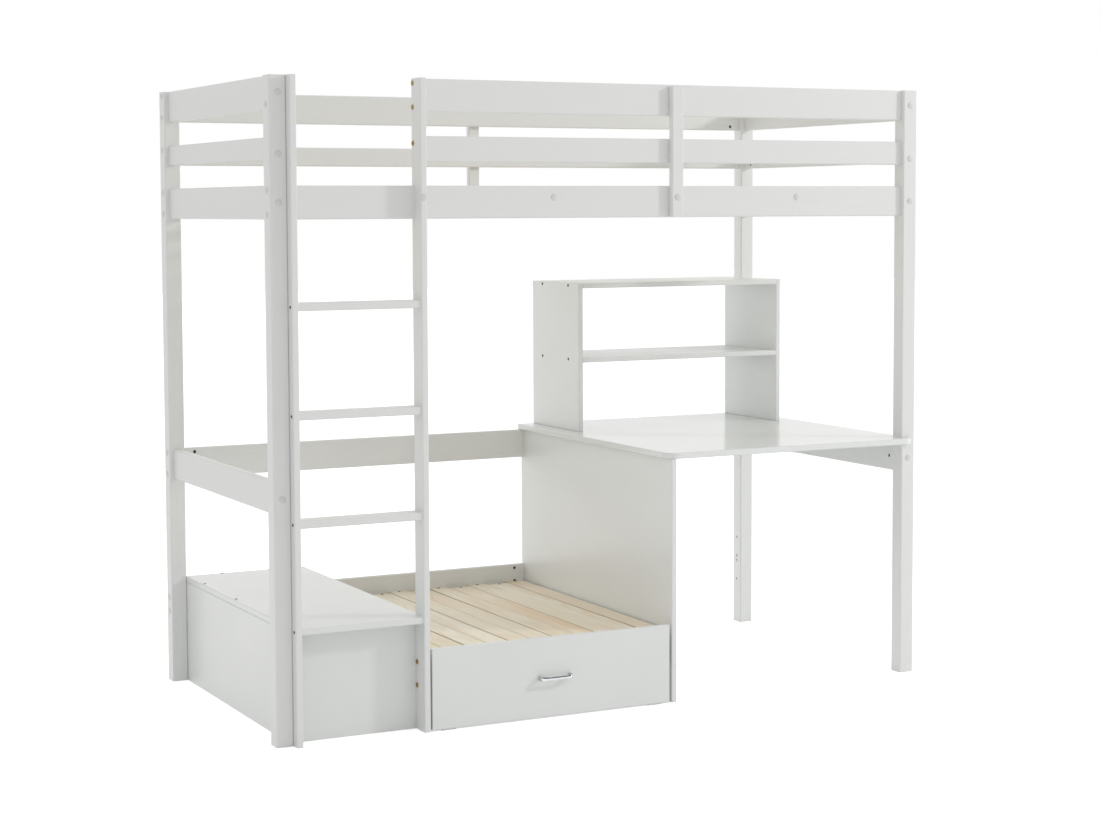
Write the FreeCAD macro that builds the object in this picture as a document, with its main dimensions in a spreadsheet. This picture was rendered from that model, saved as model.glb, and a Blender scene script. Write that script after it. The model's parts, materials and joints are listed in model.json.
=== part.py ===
import FreeCAD, Part
import math
import os
import re
import Sketcher

# Loft bed over a pull-out bench and a desk, as an assembly of boards.
# All lengths are in millimetres. Formulas are written in the space of the bed itself:
# x runs from the left posts' outer face, y from the front posts' front face, z from the floor.

SIZES = {
    # whole bed
    "bed_length": 2080,
    "bed_width": 980,
    "post_height": 1790,
    "post_side": 48,
    "post_ease": 4,
    # rails
    "rail_thick": 20,
    "rail_tall": 90,
    "rail_ease": 3,
    "slim_rail_tall": 58,
    "slim_rail_drop": 220,
    "guard_rail_tall": 70,
    "guard_rail_drop": 225,
    "bed_rail_drop": 380,
    "bench_rail_base": 178,
    "support_wide": 38,
    "support_thick": 20,
    "support_drop": 5,
    # ladder
    "ladder_wide": 390,
    "stile_thick": 18,
    "stile_ease": 2,
    "front_reach": 27.5,
    "rung_thick": 22,
    "rung_pitch": 290,
    "rung_recess": 5,
    # boards of the step box, the divider, the desk and the hutch
    "panel_thick": 16,
    "top_thick": 18,
    "panel_ease": 1.5,
    "step_height": 320,
    "step_wide": 382,
    "step_back_gap": 2,
    "divider_from_left": 1204,
    "divider_reach": 25,
    "desk_height": 730,
    "desk_overhang": 12,
    "desk_corner": 40,
    "hutch_gap": 28,
    "hutch_right_gap": 30,
    "hutch_deep": 325,
    "hutch_tall": 470,
    "hutch_back_gap": 2,
    "hutch_shelf_rise": 219,
    # bed base
    "bed_ledger_tall": 30,
    "bed_ledger_lift": 2,
    "bed_slat_count": 13,
    "bed_slat_wide": 70,
    "bed_slat_thick": 15,
    "bed_slat_margin": 30,
    "bed_slat_play": 2,
    "slat_ease": 2,
    # bench and pull-out
    "bench_top": 213,
    "bench_slat_wide": 66,
    "bench_slat_gap": 3,
    "bench_slat_thick": 12,
    "fixed_slat_count": 6,
    "strip_side": 20,
    "pullout_gap_left": 5,
    "pullout_gap_right": 9,
    "pullout_top": 230,
    "rear_play": 2,
    "side_play": 3,
    "glide_thick": 3,
    "glide_long": 40,
    "glide_inset": 30,
    "glide_count": 2,
    "handle_spacing": 96,
    "handle_reach": 26,
    "handle_bend": 12,
    "handle_thick": 6,
    "handle_foot": 14,
    "handle_bar": 9.5,
    "handle_flare": 6,
    "handle_waist": 20,
    # connector bolts and barrel nuts
    "bolt_pitch": 65,
    "slim_bolt_offset": 16,
    "bench_bolt_low": 36,
    "bench_bolt_high": 78,
    "bolt_across": 6,
    "bolt_bore_across": 8,
    "head_across": 15,
    "head_thick": 2,
    "nut_across": 9.6,
    "nut_bore": 10.4,
    "nut_long": 14,
    "nut_setback": 36,
    "nut_grip": 3,
    # open bores in the back right post, for a bench built the other way round
    "spare_bore": 8,
    "spare_deep": 12,
    "spare_base": 149,
    "spare_shift": 82,
    # every cut runs past the face that it starts from by this much
    "overrun": 5,
}

BOLT_SIDES = 6
HEAD_SIDES = 8
NUT_SIDES = 12

# Lines that several pieces share
RAIL_INSET = "(post_side - rail_thick) / 2"
RAIL_INNER = "(post_side + rail_thick) / 2"
FRONT_Y = RAIL_INSET
BACK_Y = f"bed_width - {RAIL_INNER}"
LEFT_X = RAIL_INSET
RIGHT_X = f"bed_length - {RAIL_INNER}"
POST_RIGHT = "bed_length - post_side"
POST_BACK = "bed_width - post_side"
SPAN_X = "bed_length - 2 * post_side"
SPAN_Y = "bed_width - 2 * post_side"
TOP_RAIL_Z = "post_height - rail_tall"
SLIM_RAIL_Z = "post_height - slim_rail_drop"
GUARD_RAIL_Z = "post_height - guard_rail_drop"
BED_RAIL_Z = "post_height - bed_rail_drop"
LOW_RAIL_Z = "desk_height - top_thick - rail_tall"
LADDER_RIGHT = "post_side + ladder_wide"
STILE_RIGHT_X = f"{LADDER_RIGHT} - stile_thick"
STILE_DEEP = f"front_reach + {RAIL_INNER}"
GUARD_LONG = f"{POST_RIGHT} - ({LADDER_RIGHT})"
RUNG_X = "post_side + stile_thick"
RUNG_LONG = "ladder_wide - 2 * stile_thick"
RUNG_Y = "rung_recess - front_reach"
RUNG_DEEP = f"{STILE_DEEP} - 2 * rung_recess"
STEP_RIGHT = "post_side + step_wide"
STEP_BACK = f"{BACK_Y} - step_back_gap"
STEP_PANEL_TALL = "step_height - top_thick"
STEP_SIDE_Y = f"{RAIL_INNER} + panel_thick"
STEP_SIDE_LONG = f"{STEP_BACK} - panel_thick - ({STEP_SIDE_Y})"
TONGUE_LONG = f"{RAIL_INNER} - ({RUNG_Y})"
DIVIDER_RIGHT = "divider_from_left + panel_thick"
DIVIDER_TALL = "desk_height - top_thick"
RAIL_BACK = f"{BACK_Y} + rail_thick"
DESK_X = "divider_from_left - desk_overhang"
DESK_RIGHT = f"bed_length - {RAIL_INSET}"
HUTCH_X = f"{DIVIDER_RIGHT} + hutch_gap"
HUTCH_Y = f"{RAIL_BACK} - hutch_back_gap - hutch_deep"
HUTCH_TOP = "desk_height + hutch_tall"
SHELF_X = f"{HUTCH_X} + panel_thick"
HUTCH_RIGHT_X = f"{POST_RIGHT} - hutch_right_gap - panel_thick"
SHELF_LONG = f"{HUTCH_RIGHT_X} - ({SHELF_X})"
SUPPORT_TALL = "bed_rail_drop - support_drop"
LEDGER_Z = f"{BED_RAIL_Z} + bed_ledger_lift"
BED_SLAT_Y = f"{RAIL_INNER} + bed_slat_play"
BED_SLAT_LONG = f"{BACK_Y} - {RAIL_INNER} - 2 * bed_slat_play"
BED_SLAT_STEP = f"({SPAN_X} - 2 * bed_slat_margin - bed_slat_wide) / (bed_slat_count - 1)"
BENCH_BASE = "bench_top - bench_slat_thick"
BENCH_WIDE = f"divider_from_left - ({LADDER_RIGHT})"
SLAT_STEP = "bench_slat_wide + bench_slat_gap"
SLAT_FIELD = f"(2 * fixed_slat_count - 1) * ({SLAT_STEP}) - bench_slat_gap"
SLAT_X = f"({LADDER_RIGHT} + divider_from_left - ({SLAT_FIELD})) / 2"
STRIP_Z = f"{BENCH_BASE} - strip_side"
RUNNER_Z = f"{STRIP_Z} - strip_side"
BENCH_LEDGER_Y = f"{BACK_Y} - strip_side"
RUNNER_LONG = f"{BACK_Y} - {RAIL_INNER}"
PULLOUT_X = f"{LADDER_RIGHT} + pullout_gap_left"
PULLOUT_LONG = f"{BENCH_WIDE} - pullout_gap_left - pullout_gap_right"
PULLOUT_BACK = "panel_thick - front_reach"
REAR_BAR_Y = f"{BENCH_LEDGER_Y} - rear_play - strip_side"
MOVING_SLAT_LONG = f"{BENCH_LEDGER_Y} - rear_play - ({PULLOUT_BACK})"
CENTRE_X = "bed_length / 2"
CENTRE_Y = f"({RAIL_BACK} + support_thick - front_reach - handle_reach) / 2"

PLANE_OF = {"X": "YZ_Plane", "Y": "XZ_Plane", "Z": "XY_Plane"}
WIDTH_OF = {"Chamfer": "Size", "Fillet": "Radius"}
AXES = "XYZ"
ZERO = ("0", "0", "0")

doc = FreeCAD.newDocument("loft_bed")
sheet = doc.addObject("Spreadsheet::Sheet", "Sizes")
for line, (alias, number) in enumerate(SIZES.items(), start=1):
    sheet.set(f"A{line}", alias)
    sheet.set(f"B{line}", str(number))
    sheet.setAlias(f"B{line}", alias)
doc.recompute()

pieces = {}


def cells(formula):
    """Point each size named in a formula at its cell in the sheet."""
    return re.sub(r"[a-z]\w*", lambda word: f"Sizes.{word.group()}", formula)


def value(formula):
    """Number that a formula gives with the sheet's sizes."""
    return float(sheet.evalExpression(cells(formula)))


def bind(feature, path, formula):
    feature.setExpression(path, cells(formula))


def role(body, name):
    return next(item for item in body.Origin.OriginFeatures if item.Role == name)


def attach(feature, body, axis, at):
    """Put a feature on the origin plane square to an axis, at a point of the body."""
    # the plane square to y faces backwards
    offset = {"X": (at[1], at[2], at[0]), "Y": (at[0], at[2], f"-({at[1]})"), "Z": at}[axis]
    feature.AttachmentSupport = (role(body, PLANE_OF[axis]), [""])
    feature.MapMode = "FlatFace"
    for side, formula in zip("xyz", offset):
        bind(feature, f"AttachmentOffset.Base.{side}", formula)


def place(item, at):
    """Bind a piece's place, with the middle of the bed's foot at zero."""
    bind(item, ".Placement.Base.x", f"{at[0]} - {CENTRE_X}")
    bind(item, ".Placement.Base.y", f"{at[1]} - {CENTRE_Y}")
    bind(item, ".Placement.Base.z", at[2])


def rectangle(sketch, wide, deep):
    """Fully constrained rectangle with one corner on the sketch's origin."""
    corners = [FreeCAD.Vector(*corner) for corner in ((0, 0), (1, 0), (1, 1), (0, 1))]
    for start, end in zip(corners, corners[1:] + corners[:1]):
        sketch.addGeometry(Part.LineSegment(start, end))
    for side in range(4):
        sketch.addConstraint(Sketcher.Constraint("Coincident", side, 2, (side + 1) % 4, 1))
        sketch.addConstraint(Sketcher.Constraint(("Horizontal", "Vertical")[side % 2], side))
    sketch.addConstraint(Sketcher.Constraint("Coincident", 0, 1, -1, 1))
    for kind, side, formula in (("DistanceX", 0, wide), ("DistanceY", 1, deep)):
        index = sketch.addConstraint(Sketcher.Constraint(kind, side, 1, side, 2, 1))
        bind(sketch, f"Constraints[{index}]", formula)


def board(label, at, size, ease=None, along=None, kind="Chamfer"):
    """Rectangular board; its edges, all or along one axis, are eased if a width is named."""
    body = doc.addObject("PartDesign::Body", label)
    sketch = body.newObject("Sketcher::SketchObject", f"{label}_outline")
    attach(sketch, body, "Z", ZERO)
    rectangle(sketch, size[0], size[1])
    pad = body.newObject("PartDesign::Pad", f"{label}_pad")
    pad.Profile = sketch
    bind(pad, "Length", size[2])
    place(body, at)
    doc.recompute()
    pieces[label] = (body, at, size)
    if ease:
        ease_edges(body, kind, ease, lambda edge: not along or runs_along(edge, along))
    return body


def runs_along(edge, axis):
    return edge.BoundBox.DiagonalLength - getattr(edge.BoundBox, f"{axis}Length") < edge.Length * 1e-6


def ease_edges(body, kind, width, wanted):
    """Fillet or chamfer each edge of a body that passes a test."""
    last = body.Tip
    names = [f"Edge{n}" for n, edge in enumerate(last.Shape.Edges, start=1) if wanted(edge)]
    eased = body.newObject(f"PartDesign::{kind}", f"{body.Label}_ease")
    eased.Base = (last, names)
    bind(eased, WIDTH_OF[kind], width)
    doc.recompute()


def take(body, kind, axis, at, **sizes):
    """Take a primitive out of a body; it starts at a point of the body and runs along an axis."""
    tool = body.newObject(f"PartDesign::Subtractive{kind}", f"{body.Label}_cut")
    attach(tool, body, axis, at)
    for name, formula in sizes.items():
        bind(tool, name, formula)
    return tool


def notch(body, at, size):
    take(body, "Box", "Z", at, Length=size[0], Width=size[1], Height=size[2])


def bore(body, axis, at, deep, across, sides):
    """Bore from a point along the positive axis; it has a few flat sides instead of a round wall."""
    start = list(at)
    if axis == "Y":
        start[1] = f"{at[1]} + {deep}"
    tool = take(body, "Prism", axis, start, Circumradius=f"{across} / 2", Height=deep)
    tool.Polygon = sides


def slats(label, at, size, step, count, ease="slat_ease"):
    """Equal boards side by side along x, as one piece of several solids."""
    body = board(label, at, size, ease, "Y")
    pattern = body.newObject("PartDesign::LinearPattern", f"{label}_row")
    pattern.TransformMode = "Whole shape"
    pattern.Direction = (role(body, "X_Axis"), [""])
    pattern.Mode = "Spacing"
    body.Tip = pattern
    bind(pattern, "Offset", step)
    bind(pattern, "Occurrences", count)
    doc.recompute()


# Posts
POST = ("post_side", "post_side", "post_height")
board("post_front_left", ZERO, POST, "post_ease", "Z", "Fillet")
board("post_front_right", (POST_RIGHT, "0", "0"), POST, "post_ease", "Z", "Fillet")
board("post_back_left", ("0", POST_BACK, "0"), POST, "post_ease", "Z", "Fillet")
board("post_back_right", (POST_RIGHT, POST_BACK, "0"), POST, "post_ease", "Z", "Fillet")

# Rails of the two ends and of the back, level by level
LEVELS = {
    "top": (TOP_RAIL_Z, "rail_tall"),
    "middle": (SLIM_RAIL_Z, "slim_rail_tall"),
    "bed": (BED_RAIL_Z, "rail_tall"),
    "low": (LOW_RAIL_Z, "rail_tall"),
}
for level, (z, tall) in LEVELS.items():
    end_rail = ("rail_thick", SPAN_Y, tall)
    board(f"left_end_{level}_rail", (LEFT_X, "post_side", z), end_rail, "rail_ease", "Y")
    board(f"right_end_{level}_rail", (RIGHT_X, "post_side", z), end_rail, "rail_ease", "Y")
    board(f"back_{level}_rail", ("post_side", BACK_Y, z), (SPAN_X, "rail_thick", tall), "rail_ease", "X")

# Front rails and the upright supports outside the guards
LONG_RAIL = (SPAN_X, "rail_thick", "rail_tall")
board("front_bed_rail", ("post_side", FRONT_Y, BED_RAIL_Z), LONG_RAIL, "rail_ease", "X")
GUARD = (GUARD_LONG, "rail_thick", "rail_tall")
board("front_guard_top_rail", (LADDER_RIGHT, FRONT_Y, TOP_RAIL_Z), GUARD, "rail_ease", "X")
SLIM_GUARD = (GUARD_LONG, "rail_thick", "guard_rail_tall")
board("front_guard_middle_rail", (LADDER_RIGHT, FRONT_Y, GUARD_RAIL_Z), SLIM_GUARD, "rail_ease", "X")
SUPPORT = ("support_wide", "support_thick", SUPPORT_TALL)
FRONT_SUPPORT = ("(bed_length + ladder_wide - support_wide) / 2", f"{FRONT_Y} - support_thick", BED_RAIL_Z)
board("front_guard_support", FRONT_SUPPORT, SUPPORT, "rail_ease", "Z")
BACK_SUPPORT = ("(bed_length - support_wide) / 2", RAIL_BACK, BED_RAIL_Z)
board("back_guard_support", BACK_SUPPORT, SUPPORT, "rail_ease", "Z")

# Ladder: the stiles are notched at the back to let the bed rail through
STILE = ("stile_thick", STILE_DEEP, "post_height")
STILE_NOTCH = ("stile_thick + 2 * overrun", "rail_thick + overrun", "rail_tall")
for side, x in (("left", "post_side"), ("right", STILE_RIGHT_X)):
    stile = board(f"ladder_stile_{side}", (x, "-front_reach", "0"), STILE, "stile_ease", "Z")
    notch(stile, ("-overrun", f"{STILE_DEEP} - rail_thick", BED_RAIL_Z), STILE_NOTCH)
RUNG = (RUNG_LONG, RUNG_DEEP, "rung_thick")
for number in (1, 2, 3):
    rung_z = f"step_height + {number} * rung_pitch - rung_thick"
    board(f"ladder_rung_{number}", (RUNG_X, RUNG_Y, rung_z), RUNG, "rail_ease", "X", "Fillet")

# Step box: the top's tongue lies between the stiles as the lowest tread
STEP_TOP = ("step_wide", f"{STEP_BACK} - ({RUNG_Y})", "top_thick")
step_top = board("step_top", ("post_side", RUNG_Y, STEP_PANEL_TALL), STEP_TOP, "panel_ease")
TONGUE_CUT = ("stile_thick + overrun", f"{TONGUE_LONG} + overrun", "top_thick + 2 * overrun")
notch(step_top, ("-overrun", "-overrun", "-overrun"), TONGUE_CUT)
notch(step_top, (f"{STILE_RIGHT_X} - post_side", "-overrun", "-overrun"), TONGUE_CUT)
STEP_CROSS = ("step_wide", "panel_thick", STEP_PANEL_TALL)
STEP_SIDE = ("panel_thick", STEP_SIDE_LONG, STEP_PANEL_TALL)
board("step_front_panel", ("post_side", RAIL_INNER, "0"), STEP_CROSS)
board("step_back_panel", ("post_side", f"{STEP_BACK} - panel_thick", "0"), STEP_CROSS)
board("step_left_panel", ("post_side", STEP_SIDE_Y, "0"), STEP_SIDE)
board("step_right_panel", (f"{STEP_RIGHT} - panel_thick", STEP_SIDE_Y, "0"), STEP_SIDE)

# Divider, notched over the low back rail
DIVIDER = ("panel_thick", f"{RAIL_BACK} + divider_reach", DIVIDER_TALL)
divider = board("divider_panel", ("divider_from_left", "-divider_reach", "0"), DIVIDER, "panel_ease")
DIVIDER_NOTCH = ("panel_thick + 2 * overrun", "rail_thick + overrun", "rail_tall + overrun")
notch(divider, ("-overrun", f"{BACK_Y} + divider_reach", LOW_RAIL_Z), DIVIDER_NOTCH)

# Desk top, with round front corners, let in round the two right posts
DESK = (f"{DESK_RIGHT} - ({DESK_X})", f"{RAIL_BACK} + front_reach", "top_thick")
desk = board("desk_top", (DESK_X, "-front_reach", DIVIDER_TALL), DESK)
ease_edges(desk, "Fillet", "desk_corner", lambda edge: runs_along(edge, "Z") and edge.BoundBox.YMax < 1e-6)
ease_edges(desk, "Chamfer", "panel_ease", lambda edge: not runs_along(edge, "Z"))
POST_NOTCH = ("post_side", "post_side", "top_thick + 2 * overrun")
notch(desk, (f"{POST_RIGHT} - ({DESK_X})", "front_reach", "-overrun"), POST_NOTCH)
notch(desk, (f"{POST_RIGHT} - ({DESK_X})", f"{POST_BACK} + front_reach", "-overrun"), POST_NOTCH)

# Hutch standing on the desk
HUTCH_SIDE = ("panel_thick", "hutch_deep", "hutch_tall")
SHELF = (SHELF_LONG, "hutch_deep", "panel_thick")
board("hutch_left_panel", (HUTCH_X, HUTCH_Y, "desk_height"), HUTCH_SIDE, "panel_ease")
board("hutch_right_panel", (HUTCH_RIGHT_X, HUTCH_Y, "desk_height"), HUTCH_SIDE, "panel_ease")
board("hutch_top_shelf", (SHELF_X, HUTCH_Y, f"{HUTCH_TOP} - panel_thick"), SHELF, "panel_ease", "X")
board("hutch_middle_shelf", (SHELF_X, HUTCH_Y, "desk_height + hutch_shelf_rise"), SHELF, "panel_ease", "X")

# Bed base: ledgers on the bed rails and slats across them
BED_LEDGER = (SPAN_X, "strip_side", "bed_ledger_tall")
board("bed_ledger_front", ("post_side", RAIL_INNER, LEDGER_Z), BED_LEDGER)
board("bed_ledger_back", ("post_side", BENCH_LEDGER_Y, LEDGER_Z), BED_LEDGER)
BED_SLAT_AT = ("post_side + bed_slat_margin", BED_SLAT_Y, f"{LEDGER_Z} + bed_ledger_tall")
BED_SLAT = ("bed_slat_wide", BED_SLAT_LONG, "bed_slat_thick")
slats("bed_slats", BED_SLAT_AT, BED_SLAT, BED_SLAT_STEP, "bed_slat_count")

# Fixed half of the bench
BACK_BENCH_RAIL = ("divider_from_left - post_side", "rail_thick", "rail_tall")
board("back_bench_rail", ("post_side", BACK_Y, "bench_rail_base"), BACK_BENCH_RAIL, "rail_ease", "X")
BENCH_BAR = (BENCH_WIDE, "rail_thick", "rail_tall")
board("bench_front_bar", (LADDER_RIGHT, FRONT_Y, f"{BENCH_BASE} - rail_tall"), BENCH_BAR)
RUNNER = ("strip_side", RUNNER_LONG, "strip_side")
board("bench_runner_left", (STEP_RIGHT, RAIL_INNER, RUNNER_Z), RUNNER)
board("bench_runner_right", ("divider_from_left - strip_side", RAIL_INNER, RUNNER_Z), RUNNER)
BACK_LEDGER = (f"divider_from_left - ({STEP_RIGHT})", "strip_side", "strip_side")
board("bench_back_ledger", (STEP_RIGHT, BENCH_LEDGER_Y, STRIP_Z), BACK_LEDGER)
FIXED_SLAT = ("bench_slat_wide", f"{BACK_Y} - {FRONT_Y}", "bench_slat_thick")
FIXED_SLAT_AT = (SLAT_X, FRONT_Y, BENCH_BASE)
SECOND_SLAT = f"2 * ({SLAT_STEP})"
slats("bench_fixed_slats", FIXED_SLAT_AT, FIXED_SLAT, SECOND_SLAT, "fixed_slat_count")

# Moving half of the bench: its slats run between the fixed ones
PULLOUT_PANEL = (PULLOUT_LONG, "panel_thick", "pullout_top - glide_thick")
board("pullout_front_panel", (PULLOUT_X, "-front_reach", "glide_thick"), PULLOUT_PANEL, "panel_ease")
board("pullout_ledger", (PULLOUT_X, PULLOUT_BACK, STRIP_Z), (PULLOUT_LONG, "strip_side", "strip_side"))
MOVING_SLAT_AT = (f"{SLAT_X} + {SLAT_STEP}", PULLOUT_BACK, BENCH_BASE)
MOVING_SLAT = ("bench_slat_wide", MOVING_SLAT_LONG, "bench_slat_thick")
slats("pullout_slats", MOVING_SLAT_AT, MOVING_SLAT, SECOND_SLAT, "fixed_slat_count - 1")
REAR_BAR = (f"divider_from_left - ({STEP_RIGHT}) - 2 * side_play", "strip_side", "strip_side")
board("pullout_rear_bar", (f"{STEP_RIGHT} + side_play", REAR_BAR_Y, STRIP_Z), REAR_BAR)
GLIDE_STEP = f"{PULLOUT_LONG} - 2 * glide_inset - glide_long"
GLIDE_AT = (f"{PULLOUT_X} + glide_inset", "-front_reach", "0")
GLIDE = ("glide_long", "panel_thick", "glide_thick")
slats("pullout_glides", GLIDE_AT, GLIDE, GLIDE_STEP, "glide_count", None)


def bow_handle(label, at):
    """Bow handle: a flat strap swept round two bends, high at its feet and slim between them."""
    body = doc.addObject("PartDesign::Body", label)
    path = body.newObject("Sketcher::SketchObject", f"{label}_path")
    attach(path, body, "Z", ZERO)
    reach = "handle_reach - handle_thick / 2"
    far = value(reach)
    long = value("handle_spacing")
    bend = value("handle_bend")
    quarter = math.pi / 2
    start, left, left_far, right_far, right, end = [FreeCAD.Vector(*corner) for corner in (
        (0, 0), (0, bend - far), (bend, -far), (long - bend, -far), (long, bend - far), (long, 0),
    )]
    up = FreeCAD.Vector(0, 0, 1)
    left_bend = Part.Circle(FreeCAD.Vector(bend, bend - far), up, bend)
    right_bend = Part.Circle(FreeCAD.Vector(long - bend, bend - far), up, bend)
    path.addGeometry(Part.LineSegment(start, left))
    path.addGeometry(Part.ArcOfCircle(left_bend, 2 * quarter, 3 * quarter))
    path.addGeometry(Part.LineSegment(left_far, right_far))
    path.addGeometry(Part.ArcOfCircle(right_bend, 3 * quarter, 4 * quarter))
    path.addGeometry(Part.LineSegment(right, end))
    for first in range(4):
        path.addConstraint(Sketcher.Constraint("Tangent", first, 2, first + 1, 1))
    path.addConstraint(Sketcher.Constraint("Coincident", 0, 1, -1, 1))
    path.addConstraint(Sketcher.Constraint("Vertical", 0))
    path.addConstraint(Sketcher.Constraint("Vertical", 4))
    path.addConstraint(Sketcher.Constraint("PointOnObject", 4, 2, -1))
    path.addConstraint(Sketcher.Constraint("Equal", 1, 3))
    for formula, constraint in (
        ("handle_bend", Sketcher.Constraint("Radius", 1, bend)),
        ("handle_spacing", Sketcher.Constraint("DistanceX", 0, 1, 4, 2, long)),
        (reach, Sketcher.Constraint("DistanceY", 2, 1, 0, 1, far)),
    ):
        index = path.addConstraint(constraint)
        bind(path, f"Constraints[{index}]", formula)
    section = body.newObject("Sketcher::SketchObject", f"{label}_section")
    attach(section, body, "Y", ("-handle_thick / 2", "0", "-handle_foot / 2"))
    rectangle(section, "handle_thick", "handle_foot")
    doc.recompute()
    strap = body.newObject("PartDesign::AdditivePipe", f"{label}_strap")
    strap.Profile = section
    strap.Spine = (path, [f"Edge{n}" for n in range(1, 6)])
    doc.recompute()
    slim = {"min": "handle_waist", "max": "handle_spacing - handle_waist"}
    high = {"min": "handle_flare", "max": "handle_spacing - handle_flare"}
    for low_z, high_z, low_x, high_x in (
        ("handle_bar / 2", "handle_foot / 2 + overrun", slim, high),
        ("-handle_foot / 2 - overrun", "-handle_bar / 2", high, slim),
    ):
        waist = take(body, "Wedge", "Y", ZERO, Ymin=low_z, Ymax=high_z)
        for limit in ("min", "max"):
            bind(waist, f"X{limit}", low_x[limit])
            bind(waist, f"X2{limit}", high_x[limit])
        for layer in ("Z", "Z2"):
            bind(waist, f"{layer}min", "-overrun")
            bind(waist, f"{layer}max", "handle_reach + overrun")
    place(body, at)
    pieces[label] = (body, at, None)


HANDLE_X = f"{PULLOUT_X} + ({PULLOUT_LONG}) / 2 - handle_spacing / 2"
bow_handle("pull_handle", (HANDLE_X, "-front_reach", "(glide_thick + pullout_top) / 2"))

bolt_solids = []
nut_solids = []


def prism(sides, across, long, at, axis, sign):
    """Straight prism that starts at a point and runs along an axis, either way."""
    radius = value(across) / 2
    turns = [2 * math.pi * n / sides for n in range(sides + 1)]
    ring = [FreeCAD.Vector(radius * math.cos(turn), radius * math.sin(turn)) for turn in turns]
    solid = Part.Face(Part.makePolygon(ring)).extrude(FreeCAD.Vector(0, 0, long))
    way = FreeCAD.Vector(*(sign if axis == name else 0 for name in AXES))
    solid.Placement = FreeCAD.Placement(at, FreeCAD.Rotation(FreeCAD.Vector(0, 0, 1), way))
    return solid


def point(at):
    """Point of the bed as a place in the part's own frame."""
    return FreeCAD.Vector(value(f"{at[0]} - {CENTRE_X}"), value(f"{at[1]} - {CENTRE_Y}"), value(at[2]))


def join(host, rail, end, nut_side, heights):
    """Bolt one end of a rail to its host, with a barrel nut in the rail's inner face."""
    host_body, host_at, host_size = pieces[host]
    rail_body, rail_at, rail_size = pieces[rail]
    run = 1 if rail.startswith(("left", "right")) else 0
    axis = AXES[run]
    side = 1 - run
    middle = f"{rail_at[side]} + rail_thick / 2"
    for height in heights:
        bolt_line = [middle, middle, height]
        in_host = [f"{p} - ({q})" for p, q in zip(bolt_line, host_at)]
        in_host[run] = "-overrun"
        bore(host_body, axis, in_host, f"{host_size[run]} + 2 * overrun", "bolt_bore_across", BOLT_SIDES)
        in_rail = [f"{p} - ({q})" for p, q in zip(bolt_line, rail_at)]
        in_rail[run] = "-overrun" if end == "near" else f"{rail_size[run]} - nut_setback"
        bore(rail_body, axis, in_rail, "nut_setback + overrun", "bolt_bore_across", BOLT_SIDES)
        in_nut = list(in_rail)
        in_nut[run] = "nut_setback" if end == "near" else f"{rail_size[run]} - nut_setback"
        in_nut[side] = "rail_thick - nut_long" if nut_side > 0 else "-overrun"
        bore(rail_body, AXES[side], in_nut, "nut_long + overrun", "nut_bore", NUT_SIDES)
        seat = list(bolt_line)
        seat[run] = host_at[run] if end == "near" else f"{host_at[run]} + {host_size[run]}"
        nut = list(bolt_line)
        nut[run] = f"{rail_at[run]} + {in_nut[run]}"
        nut[side] = f"{rail_at[side]} + rail_thick - nut_long" if nut_side > 0 else rail_at[side]
        way = 1 if end == "near" else -1
        head = point(seat)
        long = abs(value(f"{nut[run]} - ({seat[run]})")) - value("nut_across / 2 - nut_grip")
        shank = prism(BOLT_SIDES, "bolt_across", long, head, axis, way)
        disc = prism(HEAD_SIDES, "head_across", value("head_thick"), head, axis, -way)
        bolt_solids.append(shank.fuse(disc).removeSplitter())
        nut_solids.append(prism(NUT_SIDES, "nut_across", value("nut_long"), point(nut), AXES[side], 1))


# Bolts along the two directions are set at different heights, so that they miss each other in the posts
def pair_heights(base, tall):
    middle = f"{base} + {tall} / 2"
    return [f"{middle} - bolt_pitch / 2", f"{middle} + bolt_pitch / 2"]


SLIM_MIDDLE = f"{SLIM_RAIL_Z} + slim_rail_tall / 2"
END_HEIGHTS = {level: [f"{z} + {tall} / 2"] for level, (z, tall) in LEVELS.items()}
END_HEIGHTS["middle"] = [f"{SLIM_MIDDLE} - slim_bolt_offset"]
LONG_HEIGHTS = {level: pair_heights(z, tall) for level, (z, tall) in LEVELS.items()}
LONG_HEIGHTS["middle"] = [f"{SLIM_MIDDLE} + slim_bolt_offset"]
for level in LEVELS:
    for side, nut_side in (("left", 1), ("right", -1)):
        join(f"post_front_{side}", f"{side}_end_{level}_rail", "near", nut_side, END_HEIGHTS[level])
        join(f"post_back_{side}", f"{side}_end_{level}_rail", "far", nut_side, END_HEIGHTS[level])
    join("post_back_left", f"back_{level}_rail", "near", -1, LONG_HEIGHTS[level])
    join("post_back_right", f"back_{level}_rail", "far", -1, LONG_HEIGHTS[level])
join("post_front_left", "front_bed_rail", "near", 1, LONG_HEIGHTS["bed"])
join("post_front_right", "front_bed_rail", "far", 1, LONG_HEIGHTS["bed"])
for rail, level in (("front_guard_top_rail", "top"), ("front_guard_middle_rail", "middle")):
    join("ladder_stile_right", rail, "near", 1, LONG_HEIGHTS[level])
    join("post_front_right", rail, "far", 1, LONG_HEIGHTS[level])
BENCH_HEIGHTS = ["bench_rail_base + bench_bolt_low", "bench_rail_base + bench_bolt_high"]
join("post_back_left", "back_bench_rail", "near", -1, BENCH_HEIGHTS)
join("divider_panel", "back_bench_rail", "far", -1, BENCH_HEIGHTS)
BAR_HEIGHTS = pair_heights(f"{BENCH_BASE} - rail_tall", "rail_tall")
join("ladder_stile_right", "bench_front_bar", "near", 1, BAR_HEIGHTS)
join("divider_panel", "bench_front_bar", "far", 1, BAR_HEIGHTS)

# Open bores on the back right post's inner face
spare_post = pieces["post_back_right"][0]
for spare_z in ("spare_base", "spare_base + bolt_pitch"):
    for shift in ("0", "spare_shift"):
        spare_at = ("-overrun", "post_side / 2", f"{spare_z} + {shift}")
        bore(spare_post, "X", spare_at, "spare_deep + overrun", "spare_bore", NUT_SIDES)

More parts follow.
